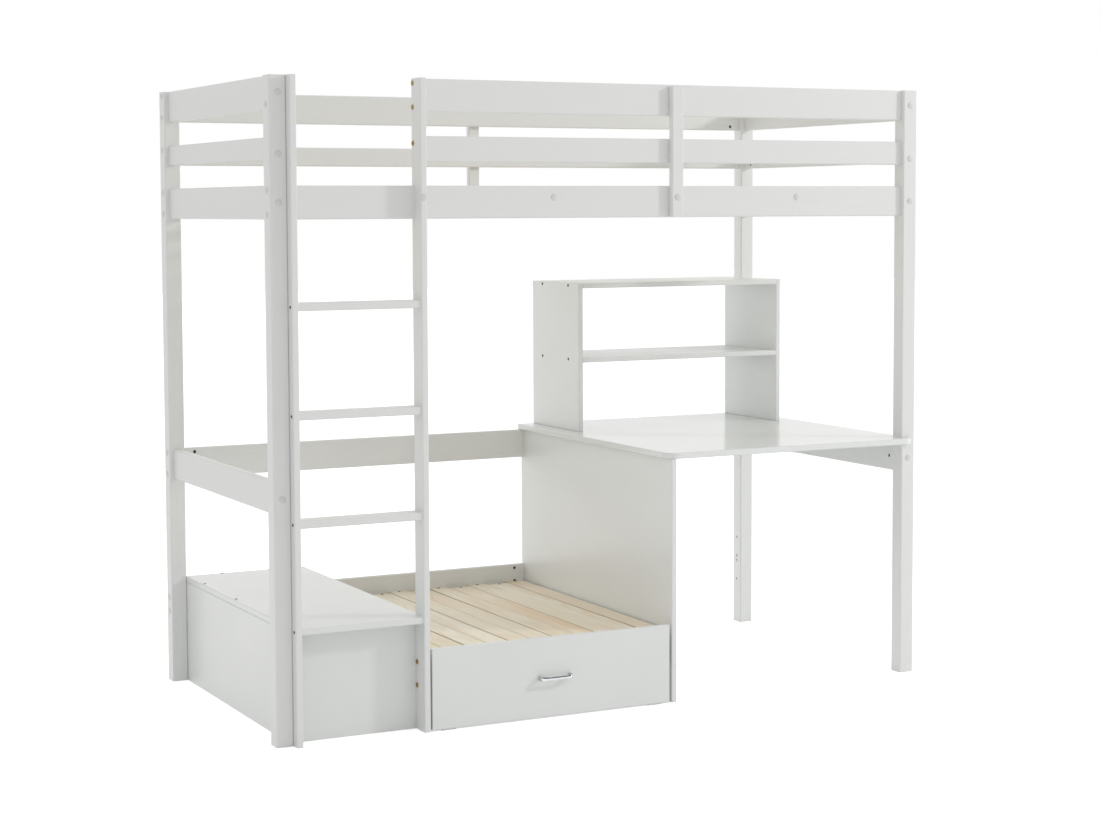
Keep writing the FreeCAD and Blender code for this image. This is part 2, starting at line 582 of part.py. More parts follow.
for label, solids in (("connector_bolts", bolt_solids), ("barrel_nuts", nut_solids)):
    group = doc.addObject("Part::Feature", label)
    group.Shape = Part.makeCompound(solids)
    pieces[label] = (group, None, None)
doc.recompute()

faults = [item.Label for item in doc.Objects if {"Invalid", "Error"} & set(item.State)]
if faults:
    raise RuntimeError(f"features in error: {faults}")
os.makedirs("parts", exist_ok=True)
for label, (item, _, _) in pieces.items():
    if item.Shape.isNull() or not item.Shape.isValid():
        raise RuntimeError(f"bad shape: {label}")
    item.Shape.exportStep(f"parts/{label}.step")
print(f"{len(pieces)} pieces, {len(bolt_solids)} bolts")
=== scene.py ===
# %% [markdown]
# # A white loft bed, dressed for its picture
#
# The bed is an assembly of boards: four posts, rails, a ladder, a step box, a desk with a hutch, and a
# bench whose front half pulls out between the slats of its back half. The boards come from the CAD model.
# This lesson gives them their finishes, adds the small hardware that a joiner adds last, and sets up
# light and camera.

# %% Load the frame
import json
import math

import bmesh
import bpy
from mathutils import Matrix, Vector


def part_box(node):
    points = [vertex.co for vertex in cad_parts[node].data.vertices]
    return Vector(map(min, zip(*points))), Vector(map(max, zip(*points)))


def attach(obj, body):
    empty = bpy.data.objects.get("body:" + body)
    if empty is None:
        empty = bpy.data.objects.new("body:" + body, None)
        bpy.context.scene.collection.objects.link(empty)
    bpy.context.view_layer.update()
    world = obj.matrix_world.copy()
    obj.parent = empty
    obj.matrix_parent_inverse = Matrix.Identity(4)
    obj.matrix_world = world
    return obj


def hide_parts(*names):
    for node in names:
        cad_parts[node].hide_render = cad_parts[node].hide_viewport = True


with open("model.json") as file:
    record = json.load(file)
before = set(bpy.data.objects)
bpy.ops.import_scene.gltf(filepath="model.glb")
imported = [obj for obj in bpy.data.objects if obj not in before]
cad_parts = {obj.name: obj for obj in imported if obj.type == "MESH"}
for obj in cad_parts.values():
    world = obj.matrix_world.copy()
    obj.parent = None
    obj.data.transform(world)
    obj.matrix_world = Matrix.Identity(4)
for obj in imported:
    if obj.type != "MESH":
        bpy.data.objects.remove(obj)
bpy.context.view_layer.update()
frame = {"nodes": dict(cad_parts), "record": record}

# %% [markdown]
# ## Measuring from the bed's own corner
#
# A joiner measures from the left post, from the front, and up from the floor, in millimetres. Blender
# works in metres from the middle of the bed. One helper turns the first into the second, so every size
# below can be read as a joiner would write it.

# %% Joiner's measure
MM = 0.001
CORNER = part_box("post_front_left")[0]


def at(x, y, z):
    return Vector((CORNER.x + x * MM, CORNER.y + y * MM, z * MM))


print("bed corner in metres:", [round(c, 4) for c in CORNER])

# %% [markdown]
# ## Colours and nodes
#
# Colours are written as sRGB hex, as a paint chart gives them, and Blender wants linear light, so one
# function converts them. A second small function adds any shader node with its settings and its links: a
# plain value goes straight into the socket, and a pair of node and output becomes a link.

# %% Colour and node helpers
def linear(hex_colour):
    channels = [int(hex_colour[i:i + 2], 16) / 255 for i in (1, 3, 5)]
    return [c / 12.92 if c <= 0.04045 else ((c + 0.055) / 1.055) ** 2.4 for c in channels] + [1.0]


def add(tree, kind, sockets=None, **settings):
    made = tree.nodes.new(kind)
    for name, setting in settings.items():
        setattr(made, name, setting)
    for socket, source in (sockets or {}).items():
        if isinstance(source, tuple) and isinstance(source[0], bpy.types.Node):
            tree.links.new(source[0].outputs[source[1]], made.inputs[socket])
        else:
            made.inputs[socket].default_value = source
    return made


def new_material(name):
    material = bpy.data.materials.new(name)
    material.use_nodes = True
    material.node_tree.nodes.clear()
    return material, material.node_tree


# a Mix node's colour sockets share their names with others, so they are used by number
MIX_A, MIX_B, MIX_COLOUR = 6, 7, 2
print("mid grey in linear light:", [round(c, 3) for c in linear("#808080")])

# %% [markdown]
# ## Satin lacquer on pine
#
# The posts, rails and ladder are solid pine under a sprayed white lacquer. The eye sees an even, slightly
# warm white with a soft sheen. Close up, the growth rings still show as a faint relief along the board,
# and the spray leaves a fine orange peel. The grain has to run along each board, so the finish is made
# once for each axis. Rings 6 mm apart and a peel of 2 mm are real sizes for planed pine and sprayed
# lacquer. A Bevel node softens the edges by the millimetre that sanding takes off them.

# %% Wood grain
AXES = "XYZ"
SWAYS_PER_METRE = 7.0
# metres along each axis by which a random number from 0 to 1 shifts the pattern
BOARD_SHIFT = (3.1, 5.7, 4.3)
# a ring texture at scale 1 has its rings this far apart
RINGS_AT_SCALE_1_MM = 314


def along_grain(tree, axis, stretch, shift_source):
    """Places on the board, drawn out along the grain and shifted so that no two boards look alike."""
    where = add(tree, "ShaderNodeTexCoord")
    shift = add(tree, "ShaderNodeVectorMath", {0: shift_source, 1: BOARD_SHIFT}, operation="MULTIPLY")
    moved = add(tree, "ShaderNodeVectorMath", {0: (where, "Object"), 1: (shift, "Vector")}, operation="ADD")
    scale = [1 / stretch if name == axis else 1 for name in AXES]
    return where, add(tree, "ShaderNodeMapping", {"Vector": (moved, "Vector"), "Scale": scale})


def growth_rings(tree, grain, axis, ring_mm, sway):
    """Rings round the trunk's axis, swaying slowly along the board."""
    warp = add(tree, "ShaderNodeTexNoise", {
        "Vector": (grain, "Vector"), "Scale": SWAYS_PER_METRE, "Detail": 2.0})
    bent = add(tree, "ShaderNodeVectorMath", {
        0: (warp, "Color"), 1: (sway, sway, sway)}, operation="MULTIPLY")
    bowed = add(tree, "ShaderNodeVectorMath", {0: (grain, "Vector"), 1: (bent, "Vector")}, operation="ADD")
    return add(tree, "ShaderNodeTexWave", {
        "Vector": (bowed, "Vector"), "Scale": RINGS_AT_SCALE_1_MM / ring_mm,
        "Distortion": 1.2, "Detail": 2.0, "Detail Scale": 1.0,
    }, wave_type="RINGS", rings_direction=axis)


print("grain runs along", list(AXES))

# %% Lacquer on solid pine
LACQUER_IOR = 1.5
RING_MM, PEEL_MM, SANDED_MM = 6, 2, 1.0
CLOUDS_PER_METRE = 6.0


def lacquered_pine(axis):
    material, tree = new_material(f"satin_lacquer_on_pine_{axis.lower()}")
    board = add(tree, "ShaderNodeObjectInfo")
    where, grain = along_grain(tree, axis, stretch=14, shift_source=(board, "Random"))
    rings = growth_rings(tree, grain, axis, RING_MM, sway=0.12)
    cloud = add(tree, "ShaderNodeTexNoise", {
        "Vector": (grain, "Vector"), "Scale": CLOUDS_PER_METRE, "Detail": 3.0})
    peel = add(tree, "ShaderNodeTexNoise", {
        "Vector": (where, "Object"), "Scale": 1 / (PEEL_MM * MM), "Detail": 1.0})
    faint = add(tree, "ShaderNodeMapRange", {"Value": (rings, "Fac"), "To Min": 0.25, "To Max": 0.75})
    streak = add(tree, "ShaderNodeMath", {0: (faint, "Result"), 1: (cloud, "Fac")}, operation="MULTIPLY")
    tint = add(tree, "ShaderNodeMix", {
        0: (streak, "Value"), MIX_A: linear("#E7E8E6"), MIX_B: linear("#E2E3E0")}, data_type="RGBA")
    gloss = add(tree, "ShaderNodeMapRange", {"Value": (cloud, "Fac"), "To Min": 0.36, "To Max": 0.48})
    edge = add(tree, "ShaderNodeBevel", {"Radius": SANDED_MM * MM}, samples=4)
    ridge = add(tree, "ShaderNodeBump", {
        "Height": (rings, "Fac"), "Distance": 0.05 * MM, "Strength": 0.2, "Normal": (edge, "Normal")})
    relief = add(tree, "ShaderNodeBump", {
        "Height": (peel, "Fac"), "Distance": 0.02 * MM, "Strength": 0.5, "Normal": (ridge, "Normal")})
    shader = add(tree, "ShaderNodeBsdfPrincipled", {
        "Base Color": (tint, MIX_COLOUR), "Roughness": (gloss, "Result"), "IOR": LACQUER_IOR,
        "Normal": (relief, "Normal")})
    add(tree, "ShaderNodeOutputMaterial", {"Surface": (shader, "BSDF")})
    return material


PINE_LACQUER = {axis: lacquered_pine(axis) for axis in AXES}
print("made", [m.name for m in PINE_LACQUER.values()])

# %% [markdown]
# ## Lacquered board
#
# The step box, divider, desk, hutch and pull-out front are flat board with the same white on it, rolled
# on in a factory. It is smoother than the solid wood: no grain, only a fine even peel and a slow drift in
# the sheen, which shows best on the desk top, where the light grazes it.

# %% Lacquer on board
BOARD_PEEL_MM, BOARD_EDGE_MM, BOARD_CLOUDS_PER_METRE = 1.5, 0.8, 4.0


def lacquered_board(sheen, rough_low, rough_high):
    material, tree = new_material(f"{sheen}_lacquer_on_board")
    where = add(tree, "ShaderNodeTexCoord")
    cloud = add(tree, "ShaderNodeTexNoise", {
        "Vector": (where, "Object"), "Scale": BOARD_CLOUDS_PER_METRE, "Detail": 3.0})
    peel = add(tree, "ShaderNodeTexNoise", {
        "Vector": (where, "Object"), "Scale": 1 / (BOARD_PEEL_MM * MM), "Detail": 1.0})
    tint = add(tree, "ShaderNodeMix", {
        0: (cloud, "Fac"), MIX_A: linear("#E7E9E7"), MIX_B: linear("#E2E4E2")}, data_type="RGBA")
    gloss = add(tree, "ShaderNodeMapRange", {
        "Value": (cloud, "Fac"), "To Min": rough_low, "To Max": rough_high})
    edge = add(tree, "ShaderNodeBevel", {"Radius": BOARD_EDGE_MM * MM}, samples=4)
    relief = add(tree, "ShaderNodeBump", {
        "Height": (peel, "Fac"), "Distance": 0.012 * MM, "Strength": 0.5, "Normal": (edge, "Normal")})
    shader = add(tree, "ShaderNodeBsdfPrincipled", {
        "Base Color": (tint, MIX_COLOUR), "Roughness": (gloss, "Result"), "IOR": LACQUER_IOR,
        "Normal": (relief, "Normal")})
    add(tree, "ShaderNodeOutputMaterial", {"Surface": (shader, "BSDF")})
    return material


BOARD_LACQUER = lacquered_board("satin", rough_low=0.26, rough_high=0.36)
DESK_LACQUER = lacquered_board("rubbed_gloss", rough_low=0.1, rough_high=0.16)
print("made", BOARD_LACQUER.name, DESK_LACQUER.name)

# %% [markdown]
# ## Raw planed pine
#
# The slats and the strips that carry them are bare. Pine shows pale earlywood and darker, harder latewood
# lines that wander along the board, with a knot here and there about the width of a thumb. The boards are
# sawn flat, at a slant to the rings, so the lines lie about 15 mm apart. Each slat is cut from another
# part of the trunk, so the pattern and the tone change by a random number for each separate face of the
# mesh. Knots come from a Voronoi texture: only some of its cells, picked by their random colour, get one.
# The long sawn edges are painted a darker brown, by a random amount for each slat. This is painted shade,
# which draws the thin dark slits between the slats. The slats that slide get only a faint painted shade on
# their edges, so every second line is faint.

# %% Raw pine
WOOD_IOR = 1.53
FLAT_RING_MM, FIBRE_MM, BLOOMS_PER_METRE = 15, 1.5, 9.0
# latewood lines are narrow, and darken the wood by this share
LATE_POWER, LATE_SHARE = 2.5, 0.2
# knots lie in cells of this width; a core is dark up to 4 mm and has faded out at 10 mm, in shares of a cell
KNOT_CELL_MM, KNOT_CORE, KNOT_END = 130, 0.03, 0.075
# a cell whose random colour lies above this gets a knot, which is drawn out along the grain
KNOT_PICK, KNOT_STRETCH = 0.6, 2


def raw_pine(axis, edges, edge_shade_low, edge_shade_high):
    material, tree = new_material(f"raw_pine_with_{edges}_edges_{axis.lower()}")
    face = add(tree, "ShaderNodeNewGeometry")
    where, grain = along_grain(tree, axis, stretch=8, shift_source=(face, "Random Per Island"))
    rings = growth_rings(tree, grain, axis, FLAT_RING_MM, sway=0.22)
    late = add(tree, "ShaderNodeMath", {0: (rings, "Fac"), 1: LATE_POWER}, operation="POWER")
    cloud = add(tree, "ShaderNodeTexNoise", {
        "Vector": (grain, "Vector"), "Scale": BLOOMS_PER_METRE, "Detail": 3.0})
    fibre = add(tree, "ShaderNodeTexNoise", {
        "Vector": (grain, "Vector"), "Scale": 1 / (FIBRE_MM * MM), "Detail": 2.0})
    # one slat is paler and the next one is pinker
    slat = add(tree, "ShaderNodeMix", {
        0: (face, "Random Per Island"), MIX_A: linear("#F5EFDF"), MIX_B: linear("#EEE2CA")}, data_type="RGBA")
    bloom = add(tree, "ShaderNodeMapRange", {
        "Value": (cloud, "Fac"), "From Min": 0.5, "From Max": 0.75, "To Min": 0.0, "To Max": 0.75})
    body = add(tree, "ShaderNodeMix", {
        0: (bloom, "Result"), MIX_A: (slat, MIX_COLOUR), MIX_B: linear("#EACFAE")}, data_type="RGBA")
    share = add(tree, "ShaderNodeMath", {0: (late, "Value"), 1: LATE_SHARE}, operation="MULTIPLY")
    wood = add(tree, "ShaderNodeMix", {
        0: (share, "Value"), MIX_A: (body, MIX_COLOUR), MIX_B: linear("#CDB184")}, data_type="RGBA")
    squeeze = [1 / KNOT_STRETCH if name == axis else 1 for name in AXES]
    knot_space = add(tree, "ShaderNodeMapping", {"Vector": (where, "Object"), "Scale": squeeze})
    cells = add(tree, "ShaderNodeTexVoronoi", {
        "Vector": (knot_space, "Vector"), "Scale": 1 / (KNOT_CELL_MM * MM)})
    picked = add(tree, "ShaderNodeMath", {0: (cells, "Color"), 1: KNOT_PICK}, operation="GREATER_THAN")
    core = add(tree, "ShaderNodeMapRange", {
        "Value": (cells, "Distance"), "From Min": KNOT_CORE, "From Max": KNOT_END,
        "To Min": 0.75, "To Max": 0.0})
    knot = add(tree, "ShaderNodeMath", {0: (core, "Result"), 1: (picked, "Value")}, operation="MULTIPLY")
    planed = add(tree, "ShaderNodeMix", {
        0: (knot, "Value"), MIX_A: (wood, MIX_COLOUR), MIX_B: linear("#A07A50")}, data_type="RGBA")
    # painted shade on the upright edges, which draws the slits between the slats; it is stronger on some
    # slats than on others
    sides = add(tree, "ShaderNodeSeparateXYZ", {"Vector": (face, "True Normal")})
    steep = add(tree, "ShaderNodeMath", {0: (sides, "Z")}, operation="ABSOLUTE")
    edge_shade = add(tree, "ShaderNodeMapRange", {
        "Value": (face, "Random Per Island"), "To Min": edge_shade_low, "To Max": edge_shade_high})
    sawn_and_shaded = add(tree, "ShaderNodeMapRange", {
        "Value": (steep, "Value"), "From Min": 0.9, "From Max": 0.8,
        "To Min": 0.0, "To Max": (edge_shade, "Result")})
    # the edges are mixed towards dark brown: painted shade in the slits
    colour = add(tree, "ShaderNodeMix", {
        0: (sawn_and_shaded, "Result"), MIX_A: (planed, MIX_COLOUR), MIX_B: linear("#8B7350")}, data_type="RGBA")
    gloss = add(tree, "ShaderNodeMapRange", {"Value": (late, "Value"), "To Min": 0.68, "To Max": 0.52})
    ridge = add(tree, "ShaderNodeBump", {"Height": (late, "Value"), "Distance": 0.15 * MM, "Strength": 0.4})
    relief = add(tree, "ShaderNodeBump", {
        "Height": (fibre, "Fac"), "Distance": 0.1 * MM, "Strength": 0.4, "Normal": (ridge, "Normal")})
    shader = add(tree, "ShaderNodeBsdfPrincipled", {
        "Base Color": (colour, MIX_COLOUR), "Roughness": (gloss, "Result"), "IOR": WOOD_IOR,
        "Normal": (relief, "Normal")})
    add(tree, "ShaderNodeOutputMaterial", {"Surface": (shader, "BSDF")})
    return material


# the fixed slats get strong painted shade on their edges, the sliding ones only a faint one
RAW_PINE = {axis: raw_pine(axis, "sawn_and_shaded", edge_shade_low=0.3, edge_shade_high=0.85) for axis in "XY"}
SLIDING_PINE = raw_pine("Y", "planed", edge_shade_low=0.0, edge_shade_high=0.1)
print("made", [m.name for m in RAW_PINE.values()], SLIDING_PINE.name)

# %% [markdown]
# ## Small hardware finishes
#
# The pull is polished chrome plate on a zinc casting, so it is a bright mirror with only hairline
# scratches. The connector bolts are steel with a yellow zinc passivation, which looks like dull brass.
# The barrel nuts and the wood screws are browned in hot oil and look almost black. The cover caps and the
# floor glides are moulded nylon, a white that is a little greyer than the lacquer, with a faint mould
# texture.

# %% Metals and nylon
def hardware(name, light, dark, metallic, rough_low, rough_high, grit_mm, relief_mm, **constants):
    material, tree = new_material(name)
    where = add(tree, "ShaderNodeTexCoord")
    grit = add(tree, "ShaderNodeTexNoise", {
        "Vector": (where, "Object"), "Scale": 1 / (grit_mm * MM), "Detail": 3.0})
    tint = add(tree, "ShaderNodeMix", {
        0: (grit, "Fac"), MIX_A: linear(light), MIX_B: linear(dark)}, data_type="RGBA")
    gloss = add(tree, "ShaderNodeMapRange", {
        "Value": (grit, "Fac"), "To Min": rough_low, "To Max": rough_high})
    relief = add(tree, "ShaderNodeBump", {
        "Height": (grit, "Fac"), "Distance": relief_mm * MM, "Strength": 0.4})
    shader = add(tree, "ShaderNodeBsdfPrincipled", {
        "Base Color": (tint, MIX_COLOUR), "Metallic": metallic, "Roughness": (gloss, "Result"),
        "Normal": (relief, "Normal"), **constants})
    add(tree, "ShaderNodeOutputMaterial", {"Surface": (shader, "BSDF")})
    return material


CHROME = hardware(
    "polished_chrome_plate", "#D4D5D7", "#CBCCCE", metallic=1.0, rough_low=0.06, rough_high=0.12,
    grit_mm=4, relief_mm=0.004)
YELLOW_ZINC = hardware(
    "yellow_zinc_plated_steel", "#BFA36C", "#94794A", metallic=1.0, rough_low=0.3, rough_high=0.45,
    grit_mm=1.5, relief_mm=0.01)
BROWNED_STEEL = hardware(
    "browned_steel", "#5E4F40", "#40362C", metallic=1.0, rough_low=0.35, rough_high=0.5,
    grit_mm=1.5, relief_mm=0.01)
NYLON = hardware(
    "moulded_white_nylon", "#DCDDDA", "#D4D5D1", metallic=0.0, rough_low=0.38, rough_high=0.5,
    grit_mm=0.8, relief_mm=0.01, IOR=1.53)
print("made", CHROME.name, YELLOW_ZINC.name, BROWNED_STEEL.name, NYLON.name)

# %% [markdown]
# ## Finishing the boards
#
# Every board from the CAD model keeps its shape and only gets its finish. The record says which ones are
# raw pine. The grain runs along the longest side, which the board's own box tells.

# %% Finish every CAD node
PANELS = ("step_", "divider_", "desk_", "hutch_", "pullout_front")
slot_of = {part["node"]: part["material_slot"] for part in frame["record"]["subparts"]}


def longest_axis(name):
    low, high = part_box(name)
    size = high - low
    return AXES[max(range(3), key=lambda i: size[i])]


finished = {}
for name, board in frame["nodes"].items():
    if slot_of[name] == "raw_pine":
        # the slats lie side by side, so their group is wider than a slat is long
        finish = RAW_PINE["Y" if name.endswith("slats") else longest_axis(name)]
        finish = SLIDING_PINE if name == "pullout_slats" else finish
    elif slot_of[name] == "white_paint":
        finish = BOARD_LACQUER if name.startswith(PANELS) else PINE_LACQUER[longest_axis(name)]
        finish = DESK_LACQUER if name == "desk_top" else finish
    else:
        finish = {"chrome": CHROME, "zinc_steel": YELLOW_ZINC, "nylon": NYLON}[slot_of[name]]
    board.data.materials.clear()
    board.data.materials.append(finish)
    finished[finish.name] = finished.get(finish.name, 0) + 1
print("boards by finish:", finished)

# %% [markdown]
# ## Turned hardware
#
# Bolts, nuts, screws and caps are all turned shapes with some kind of drive cut into the top. One helper
# spins a profile of radius and height into rings, closes the top round the outline of the drive, and
# sinks the drive into it. The shape is made once and then copied to every place where the CAD model or
# the photograph has one.

# %% Turned shapes with a drive
SIDES = 28


def ring(bm, points):
    return [bm.verts.new(point) for point in points]


def polygon(count, radius):
    return [(radius * math.cos(2 * math.pi * n / count), radius * math.sin(2 * math.pi * n / count))
            for n in range(count)]


def turned(name, profile, drive=(), depth=0.0):
    """Profile of (radius, height) in mm, from the bottom to the rim of the top; drive is an outline in mm."""
    bm = bmesh.new()
    rings = []
    for radius, height in profile:
        rings.append(ring(bm, [(x * MM, y * MM, height * MM) for x, y in polygon(SIDES, radius)]))
    for low, high in zip(rings, rings[1:]):
        for n in range(SIDES):
            bm.faces.new((low[n], low[n - 1], high[n - 1], high[n]))
    bm.faces.new(rings[0])
    top = profile[-1][1]
    if drive:
        mouth = ring(bm, [(x * MM, y * MM, top * MM) for x, y in drive])
        bottom = ring(bm, [(x * MM, y * MM, (top - depth) * MM) for x, y in drive])
        count = len(drive)
        edges = [bm.edges.new((mouth[n - 1], mouth[n])) for n in range(count)]
        rim = [bm.edges.get((rings[-1][n - 1], rings[-1][n])) for n in range(SIDES)]
        bmesh.ops.triangle_fill(bm, edges=edges + rim, use_beauty=True)
        for n in range(count):
            bm.faces.new((mouth[n - 1], mouth[n], bottom[n], bottom[n - 1]))
        bm.faces.new(bottom)
    else:
        bm.faces.new(rings[-1])
    bmesh.ops.recalc_face_normals(bm, faces=bm.faces)
    mesh = bpy.data.meshes.new(name)
    bm.to_mesh(mesh)
    bm.free()
    return mesh


def cross(arm, half):
    return [(arm, -half), (arm, half), (half, half), (half, arm), (-half, arm), (-half, half),
            (-arm, half), (-arm, -half), (-half, -half), (-half, -arm), (half, -arm), (half, -half)]


print("turned shapes have", SIDES, "sides")

# %% Pieces from copies
SHARP_ABOVE = math.radians(35)


def facing(point, out):
    return Matrix.Translation(point) @ out.to_track_quat("Z", "Y").to_matrix().to_4x4()


def piece(name, bm, finish, body):
    mesh = bpy.data.meshes.new(name)
    bm.to_mesh(mesh)
    bm.free()
    mesh.materials.append(finish)
    for face in mesh.polygons:
        face.use_smooth = True
    mesh.set_sharp_from_angle(angle=SHARP_ABOVE)
    made = bpy.data.objects.new(name, mesh)
    bpy.context.scene.collection.objects.link(made)
    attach(made, body)
    return made


def scatter(name, copies, finish, body):
    """One piece from many copies of small meshes; copies are pairs of mesh and place."""
    joined = bmesh.new()
    for mesh, place in copies:
        copy = mesh.copy()
        copy.transform(place)
        joined.from_mesh(copy)
        bpy.data.meshes.remove(copy)
    return piece(name, joined, finish, body)


print("edges stay sharp above", round(math.degrees(SHARP_ABOVE)), "degrees")

# %% [markdown]
# ## Connector bolts and barrel nuts
#
# The CAD model holds each bolt and nut as a plain prism. Their places are read from its mesh: the corners
# are welded, so that each solid becomes one island of joined corners. A bolt's axis is its longest side
# and its head is at the wider end. The real ones have a flat round head with a hex socket, and a nut has
# a slot for turning it.

# %% Read the fasteners' places
WELD, SAME_END = 0.001 * MM, 0.01 * MM


def solids(name):
    bm = bmesh.new()
    bm.from_mesh(frame["nodes"][name].data)
    bmesh.ops.remove_doubles(bm, verts=bm.verts, dist=WELD)
    todo = set(bm.verts)
    found = []
    while todo:
        island, fringe = [], [todo.pop()]
        while fringe:
            vert = fringe.pop()
            island.append(vert.co.copy())
            near = {edge.other_vert(vert) for edge in vert.link_edges} & todo
            todo -= near
            fringe.extend(near)
        found.append(island)
    bm.free()
    return found


def span(points, i):
    values = [point[i] for point in points]
    return min(values), max(values)


def bolt_place(points):
    """Seat of the head, direction out of the wood, and shank length in mm."""
    i = max(range(3), key=lambda n: span(points, n)[1] - span(points, n)[0])
    low, high = span(points, i)
    side = (i + 1) % 3

    def width(end):
        near = [point for point in points if abs(point[i] - end) < SAME_END]
        return span(near, side)[1] - span(near, side)[0]

    sign = 1 if width(high) > width(low) else -1
    seat = sorted({round(point[i], 6) for point in points}, key=lambda c: -sign * c)[1]
    middle = [sum(span(points, n)) / 2 for n in range(3)]
    middle[i] = seat
    out = Vector([sign if n == i else 0 for n in range(3)])
    return Vector(middle), out, abs(seat - (low if sign > 0 else high)) / MM


bolts = [bolt_place(points) for points in solids("connector_bolts")]
print("bolts found:", len(bolts), "shank lengths:", sorted({round(length, 1) for _, _, length in bolts}))

# %% Bolts
HEAD = [(7.4, 0.0), (7.4, 1.2), (6.9, 1.8), (6.2, 2.0)]
SHANK_RADIUS, TIP_RADIUS, TIP_LONG = 3.0, 2.6, 0.6
HEX_RADIUS, HEX_DEEP = 2.4, 1.6
bolt_shapes = {}
for _, _, length in bolts:
    key = round(length, 1)
    if key not in bolt_shapes:
        shank = [(TIP_RADIUS, -length), (SHANK_RADIUS, -length + TIP_LONG), (SHANK_RADIUS, 0.0)]
        bolt_shapes[key] = turned(f"bolt_{key}", shank + HEAD, polygon(6, HEX_RADIUS), HEX_DEEP)
bolt_copies = [(bolt_shapes[round(length, 1)], facing(seat, out)) for seat, out, length in bolts]
bolt_piece = scatter("connector_bolts_turned", bolt_copies, YELLOW_ZINC, "base")
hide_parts("connector_bolts")
print("bolts:", len(bolts), "in", len(bolt_shapes), "lengths")

# %% Barrel nuts
# a nut reaches from the bottom of its bore to a few millimetres under the face of the rail
NUT_FOOT, NUT_TOP = -7.0, 3.5
slot_outline = [(-4.0, -0.7), (4.0, -0.7), (4.0, 0.7), (-4.0, 0.7)]
SLOT_DEEP = 1.2
NUT = [(4.4, NUT_FOOT), (4.8, NUT_FOOT + 0.5), (4.8, NUT_TOP - 0.5), (4.3, NUT_TOP)]
nut_shape = turned("barrel_nut", NUT, slot_outline, SLOT_DEEP)
nut_places = []
for points in solids("barrel_nuts"):
    i = max(range(3), key=lambda n: span(points, n)[1] - span(points, n)[0])
    middle = Vector([sum(span(points, n)) / 2 for n in range(3)])
    # the slot faces the middle of the bed, from which a nut is put in
    out = Vector([-math.copysign(1, middle[i]) if n == i else 0 for n in range(3)])
    nut_places.append((nut_shape, facing(middle, out)))
nut_piece = scatter("barrel_nuts_turned", nut_places, BROWNED_STEEL, "base")
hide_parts("barrel_nuts")
print("nuts:", len(nut_places))

# %% [markdown]
# ## Cover caps
#
# Every bolt head on the outside of a post hides under a flat nylon cap, and so do the bolts that hold the
# guard supports and the ladder's right stile. Two more caps close holes in the front bed rail that stay
# empty when the bed is built this way round. The bolts on the ladder's inner side are left bare.

# %% Caps
CAP = [(10.0, 0.0), (9.8, 0.4), (9.0, 1.2), (8.0, 1.9), (6.8, 2.3), (4.0, 2.5), (1.2, 2.5)]
cap_shape = turned("cover_cap", CAP)
post_low, post_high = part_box("post_front_left")[0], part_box("post_back_right")[1]
TOUCHING = 0.5 * MM


def on_post_face(seat):
    return (min(abs(seat.x - post_low.x), abs(seat.x - post_high.x)) < TOUCHING
            or min(abs(seat.y - post_low.y), abs(seat.y - post_high.y)) < TOUCHING)


caps = [(seat, out) for seat, out, _ in bolts if on_post_face(seat)]
FRONT, BACK, LEFT = Vector((0, -1, 0)), Vector((0, 1, 0)), Vector((-1, 0, 0))
CAP_ROW, END_CAP_HEIGHT = 1468 * MM, 1712.5 * MM
SPARE_HOLES = (845, 1654)


def face_middle(name, side, height):
    """Middle of a board's front or back face, at a height."""
    low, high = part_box(name)
    return Vector(((low.x + high.x) / 2, low.y if side == FRONT else high.y, height))


for upright in ("ladder_stile_right", "front_guard_support"):
    caps.append((face_middle(upright, FRONT, CAP_ROW), FRONT))
caps.append((face_middle("back_guard_support", BACK, CAP_ROW), BACK))
rail_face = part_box("front_bed_rail")[0].y
caps += [(Vector((at(x, 0, 0).x, rail_face, CAP_ROW)), FRONT) for x in SPARE_HOLES]
# one cap on the left post's outer face closes another spare hole
post_middle = sum(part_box("post_front_left"), Vector()) / 2
caps.append((Vector((CORNER.x, post_middle.y, END_CAP_HEIGHT)), LEFT))
scatter("cover_caps", [(cap_shape, facing(*place)) for place in caps], NYLON, "base")
print("caps:", len(caps))

# %% [markdown]
# ## Wood screws
#
# Countersunk screws hold the rungs, the step's top, the hutch's shelves and the slats. They stand less
# than a millimetre proud, and a cross drive is sunk into each. The slats of the pull-out take their
# screws along.

# %% Screws in ladder, hutch and step
SCREW = [(4.6, 0.0), (4.6, 0.25), (4.2, 0.7), (3.6, 0.9)]
CROSS_ARM, CROSS_HALF, CROSS_DEEP = 2.7, 0.65, 0.8
screw_shape = turned("wood_screw", SCREW, cross(CROSS_ARM, CROSS_HALF), CROSS_DEEP)
RIGHT, UP = Vector((1, 0, 0)), Vector((0, 0, 1))
screws = []


def middle_of(name):
    low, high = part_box(name)
    return (low + high) / 2


def through_uprights(left_board, right_board, y, z):
    """Two screws through the outer faces of a pair of uprights."""
    left_face, right_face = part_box(left_board)[0].x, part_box(right_board)[1].x
    return [(Vector((left_face, y, z)), LEFT), (Vector((right_face, y, z)), RIGHT)]


